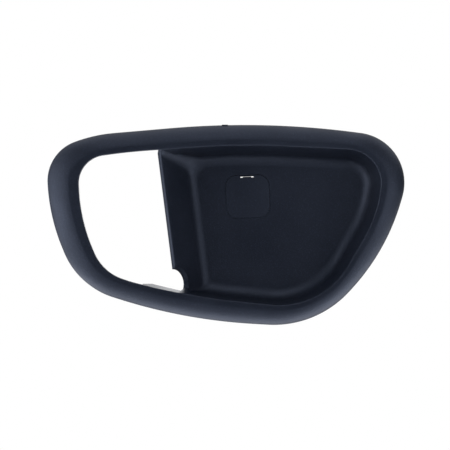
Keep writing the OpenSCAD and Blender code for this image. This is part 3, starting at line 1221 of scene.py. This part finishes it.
class NodeCanvas:
    """Short ways to add and join the nodes of one tree."""

    def __init__(self, tree: bpy.types.NodeTree) -> None:
        """Starts with an empty tree.

        Args:
            tree: The tree to fill.
        """
        self.tree = tree
        tree.nodes.clear()

    def add(self, kind: str, **values: object) -> bpy.types.Node:
        """Adds a node.

        Args:
            kind: The node's type.
            values: Its properties, or its input sockets' values, by name with _ for a space.

        Returns:
            The node.
        """
        node = self.tree.nodes.new(kind)
        for name, value in values.items():
            if hasattr(node, name):
                setattr(node, name, value)
            else:
                node.inputs[name.replace("_", " ")].default_value = value
        return node

    def join(self, start: bpy.types.NodeSocket, end: bpy.types.NodeSocket) -> None:
        """Joins two sockets."""
        self.tree.links.new(start, end)

    def calculate(self, action: str, first: object, second: object) -> bpy.types.NodeSocket:
        """Adds a Math node.

        Args:
            action: What it does.
            first: A socket or a number.
            second: A socket or a number.

        Returns:
            Its result.
        """
        node = self.add("ShaderNodeMath", operation=action)
        for socket, value in zip(node.inputs, (first, second)):
            if isinstance(value, (int, float)):
                socket.default_value = value
            else:
                self.join(value, socket)
        return node.outputs[0]

    def choose(self, share: bpy.types.NodeSocket, first: bpy.types.Node,
               second: bpy.types.Node) -> bpy.types.Node:
        """Adds a Mix Shader node.

        Args:
            share: The socket that says how much of the second shader shows.
            first: The first shader.
            second: The second shader.

        Returns:
            The node.
        """
        node = self.add("ShaderNodeMixShader")
        for start, end in zip((share, first.outputs[0], second.outputs[0]), node.inputs):
            self.join(start, end)
        return node


def new_group(name: str, outputs: list[str]) -> bpy.types.NodeTree:
    """Makes an empty shader group that takes a place and a scale.

    Args:
        name: The group's name.
        outputs: The names of the values that it puts out.

    Returns:
        The group.
    """
    group = bpy.data.node_groups.new(name, "ShaderNodeTree")
    group.interface.new_socket("Vector", in_out="INPUT", socket_type="NodeSocketVector")
    group.interface.new_socket("Scale", in_out="INPUT", socket_type="NodeSocketFloat")
    for label in outputs:
        group.interface.new_socket(label, in_out="OUTPUT", socket_type="NodeSocketFloat")
    return group


def grain_group() -> bpy.types.NodeTree:
    """Returns the group for the fine eroded grain of a mould: a height, and a speckle mask."""
    if "mould_grain" in bpy.data.node_groups:
        return bpy.data.node_groups["mould_grain"]
    group = new_group("mould_grain", ["Height", "Speckle"])
    canvas = NodeCanvas(group)
    inlet = canvas.add("NodeGroupInput")
    outlet = canvas.add("NodeGroupOutput")
    coarse = canvas.add("ShaderNodeTexNoise", Detail=3.0, Roughness=0.6)
    cells = canvas.add("ShaderNodeTexVoronoi", feature="SMOOTH_F1", Smoothness=0.6)
    for texture in (coarse, cells):
        canvas.join(inlet.outputs["Vector"], texture.inputs["Vector"])
    canvas.join(inlet.outputs["Scale"], coarse.inputs["Scale"])
    canvas.join(canvas.calculate("MULTIPLY", inlet.outputs["Scale"], 1.6), cells.inputs["Scale"])
    height = canvas.calculate("ADD", canvas.calculate("MULTIPLY", coarse.outputs[0], 0.6),
                           canvas.calculate("MULTIPLY", cells.outputs["Distance"], 0.4))
    canvas.join(height, outlet.inputs["Height"])
    peaks = canvas.add("ShaderNodeMapRange", From_Min=0.52, From_Max=0.72)
    canvas.join(coarse.outputs[0], peaks.inputs["Value"])
    canvas.join(peaks.outputs[0], outlet.inputs["Speckle"])
    return group


def mottle_group() -> bpy.types.NodeTree:
    """Returns the group for slow changes of tone over a moulding: a value round 0.5."""
    if "slow_mottle" in bpy.data.node_groups:
        return bpy.data.node_groups["slow_mottle"]
    group = new_group("slow_mottle", ["Tone"])
    canvas = NodeCanvas(group)
    inlet = canvas.add("NodeGroupInput")
    outlet = canvas.add("NodeGroupOutput")
    noise = canvas.add("ShaderNodeTexNoise", Detail=2.0, Roughness=0.5)
    canvas.join(inlet.outputs["Vector"], noise.inputs["Vector"])
    canvas.join(inlet.outputs["Scale"], noise.inputs["Scale"])
    canvas.join(noise.outputs[0], outlet.inputs["Tone"])
    return group


@dataclass(frozen=True)
class Plastic:
    """A dark moulded plastic with a fine grain, rougher in some places than in others."""

    name: str
    colour: tuple[float, float, float]
    speck_colour: tuple[float, float, float] = (0.0099, 0.0137, 0.026)
    gloss_tint: tuple[float, float, float] = (0.62, 0.72, 1.0)
    smooth: float = 0.40
    rough: float = 0.50
    grain_scale: float = 1500.0
    grain_depth: float = 0.0001
    mottle_scale: float = 45.0

    def material(self) -> bpy.types.Material:
        """Returns the material of this plastic."""
        material = bpy.data.materials.new(self.name)
        material.use_nodes = True
        canvas = NodeCanvas(material.node_tree)
        place = canvas.add("ShaderNodeTexCoord").outputs["Object"]
        grain = canvas.add("ShaderNodeGroup", node_tree=grain_group())
        mottle = canvas.add("ShaderNodeGroup", node_tree=mottle_group())
        for group, scale in ((grain, self.grain_scale), (mottle, self.mottle_scale)):
            group.inputs["Scale"].default_value = scale
            canvas.join(place, group.inputs["Vector"])
        tone = canvas.add("ShaderNodeMix", data_type="RGBA")
        tone.inputs["A"].default_value = (*self.colour, 1)
        tone.inputs["B"].default_value = (*self.speck_colour, 1)
        canvas.join(grain.outputs["Speckle"], tone.inputs["Factor"])
        rough = canvas.add("ShaderNodeMapRange", From_Min=0.35, From_Max=0.65,
                           To_Min=self.smooth, To_Max=self.rough)
        canvas.join(mottle.outputs["Tone"], rough.inputs["Value"])
        bump = canvas.add("ShaderNodeBump", Strength=1.0, Distance=self.grain_depth)
        canvas.join(grain.outputs["Height"], bump.inputs["Height"])
        shader = canvas.add("ShaderNodeBsdfPrincipled", IOR=1.5,
                            Specular_Tint=(*self.gloss_tint, 1))
        canvas.join(tone.outputs["Result"], shader.inputs["Base Color"])
        canvas.join(rough.outputs[0], shader.inputs["Roughness"])
        canvas.join(bump.outputs["Normal"], shader.inputs["Normal"])
        outlet = canvas.add("ShaderNodeOutputMaterial")
        canvas.join(shader.outputs[0], outlet.inputs["Surface"])
        return material

    def coat(self, piece: bpy.types.Object) -> None:
        """Gives a piece this plastic as its only material."""
        piece.data.materials.clear()
        piece.data.materials.append(self.material())


BEZEL_PLASTIC = Plastic("bezel_plastic", (0.0035, 0.0052, 0.0105))
COVER_PLASTIC = Plastic("cover_plastic", (0.0038, 0.0056, 0.0112))


@dataclass(frozen=True)
class Softbox:
    """A square softbox that faces the object: which way it hangs, and its power in watts."""

    name: str
    turn: float
    forward: float
    power: float

    def place(self, distance: float) -> Vector:
        """Returns where it hangs, from the object's middle."""
        turn, forward = math.radians(self.turn), math.radians(self.forward)
        across = Vector((math.cos(turn), 0, math.sin(turn))) * math.cos(forward)
        return distance * (across - Vector((0, math.sin(forward), 0)))


SOFTBOXES = (
    Softbox("front_right", 0, 45, 0.73),
    Softbox("front_top", 90, 45, 0.6),
    Softbox("front_left", 180, 45, 0.18),
    Softbox("fore_top", 90, 20, 0.17),
    Softbox("fore_left", 180, 20, 1.65),
    Softbox("fore_low_right", 315, 20, 0.3),
    Softbox("side_top", 90, -5, 0.7),
    Softbox("side_top_left", 135, -5, 0.65),
    Softbox("side_top_right", 45, -5, 0.65),
    Softbox("side_low_left", 225, -5, 1.6),
    Softbox("side_low", 270, -5, 1.45),
    Softbox("side_low_right", 315, -5, 1.5),
)


@dataclass
class Studio:
    """The pale stage, its soft light and the camera."""

    object_middle: tuple[float, float, float] = (-0.01065, -0.0212, -0.0134)
    frame_width: float = 0.2095
    camera_distance: float = 1.6
    sensor: float = 36.0
    floor_z: float = -0.62
    softbox_side: float = 0.4
    softbox_distance: float = 0.5
    behind_glow: float = 2.5
    behind_focus: float = 3.0
    floor_side: float = 6.0
    floor_white: float = 0.94
    floor_glow: float = 0.6

    def camera(self) -> None:
        """Sets the camera square to the face, as in the photograph."""
        data = bpy.data.cameras.new("camera")
        data.sensor_width = self.sensor
        data.lens = self.sensor * self.camera_distance / self.frame_width
        data.clip_end = 20
        camera = linked("camera", data)
        middle = Vector(self.object_middle)
        camera.location = middle - Vector((0, self.camera_distance, 0))
        camera.rotation_euler = (math.radians(90), 0, 0)
        bpy.context.scene.camera = camera

    def hang(self, softbox: Softbox) -> None:
        """Hangs a softbox.

        Args:
            softbox: The softbox.
        """
        data = bpy.data.lights.new(softbox.name, "AREA")
        data.shape = "SQUARE"
        data.size = self.softbox_side
        data.energy = softbox.power
        lamp = linked(softbox.name, data)
        place = softbox.place(self.softbox_distance)
        lamp.location = Vector(self.object_middle) + place
        lamp.rotation_euler = (-place).to_track_quat("-Z", "Y").to_euler()
        lamp.visible_camera = False

    def world(self) -> None:
        """Sets a surround that glows behind the object, and that the camera sees white."""
        world = bpy.data.worlds.new("surround")
        world.use_nodes = True
        bpy.context.scene.world = world
        canvas = NodeCanvas(world.node_tree)
        way = canvas.add("ShaderNodeSeparateXYZ")
        canvas.join(canvas.add("ShaderNodeTexCoord").outputs["Generated"], way.inputs[0])
        share = canvas.calculate("POWER", canvas.calculate("MAXIMUM", way.outputs["Y"], 0.0),
                              self.behind_focus)
        soft = canvas.add("ShaderNodeBackground", Color=WHITE)
        canvas.join(canvas.calculate("MULTIPLY", share, self.behind_glow), soft.inputs["Strength"])
        white = canvas.add("ShaderNodeBackground", Color=WHITE, Strength=1.0)
        path = canvas.add("ShaderNodeLightPath")
        mix = canvas.choose(path.outputs["Is Camera Ray"], soft, white)
        outlet = canvas.add("ShaderNodeOutputWorld")
        canvas.join(mix.outputs[0], outlet.inputs["Surface"])

    def floor(self) -> None:
        """Lays the floor, which the camera sees white and the object's gloss sees pale."""
        bm = bmesh.new()
        bmesh.ops.create_grid(bm, x_segments=1, y_segments=1, size=self.floor_side / 2)
        floor = new_object("floor", bm, Matrix.Translation((0, 0, self.floor_z)))
        material = bpy.data.materials.new("pale_floor")
        material.use_nodes = True
        canvas = NodeCanvas(material.node_tree)
        matte = canvas.add("ShaderNodeBsdfDiffuse", Color=(0.85, 0.86, 0.88, 1))
        white = canvas.add("ShaderNodeEmission", Color=WHITE, Strength=self.floor_white)
        glow = canvas.add("ShaderNodeEmission", Color=WHITE, Strength=self.floor_glow)
        path = canvas.add("ShaderNodeLightPath")
        both = canvas.add("ShaderNodeAddShader")
        canvas.join(matte.outputs[0], both.inputs[0])
        canvas.join(white.outputs[0], both.inputs[1])
        gloss = canvas.choose(path.outputs["Is Glossy Ray"], matte, glow)
        seen = canvas.choose(path.outputs["Is Camera Ray"], gloss, both)
        outlet = canvas.add("ShaderNodeOutputMaterial")
        canvas.join(seen.outputs[0], outlet.inputs["Surface"])
        floor.data.materials.append(material)

    def build(self) -> None:
        """Sets up the whole studio."""
        self.camera()
        self.world()
        self.floor()
        for softbox in SOFTBOXES:
            self.hang(softbox)
        log.info("studio: camera, floor and %d softboxes", len(SOFTBOXES))


def main() -> None:
    """Builds the studio and the two pieces."""
    logging.basicConfig(level=logging.INFO, format="%(name)s: %(message)s")
    scene = bpy.context.scene
    scene.view_settings.view_transform = "Standard"
    Studio().build()
    rim = Rim()
    seat = ScrewSeat()
    bezel = Bezel(rim, FingerCup(rim), seat).dress(BEZEL_PLASTIC)
    log.info("bezel dressed: %d vertices", len(bezel.data.vertices))
    cover = ScrewCover(seat).dress(COVER_PLASTIC)
    log.info("screw cover dressed: %d vertices", len(cover.data.vertices))
    bpy.context.view_layer.update()


if __name__ == "__main__":
    main()
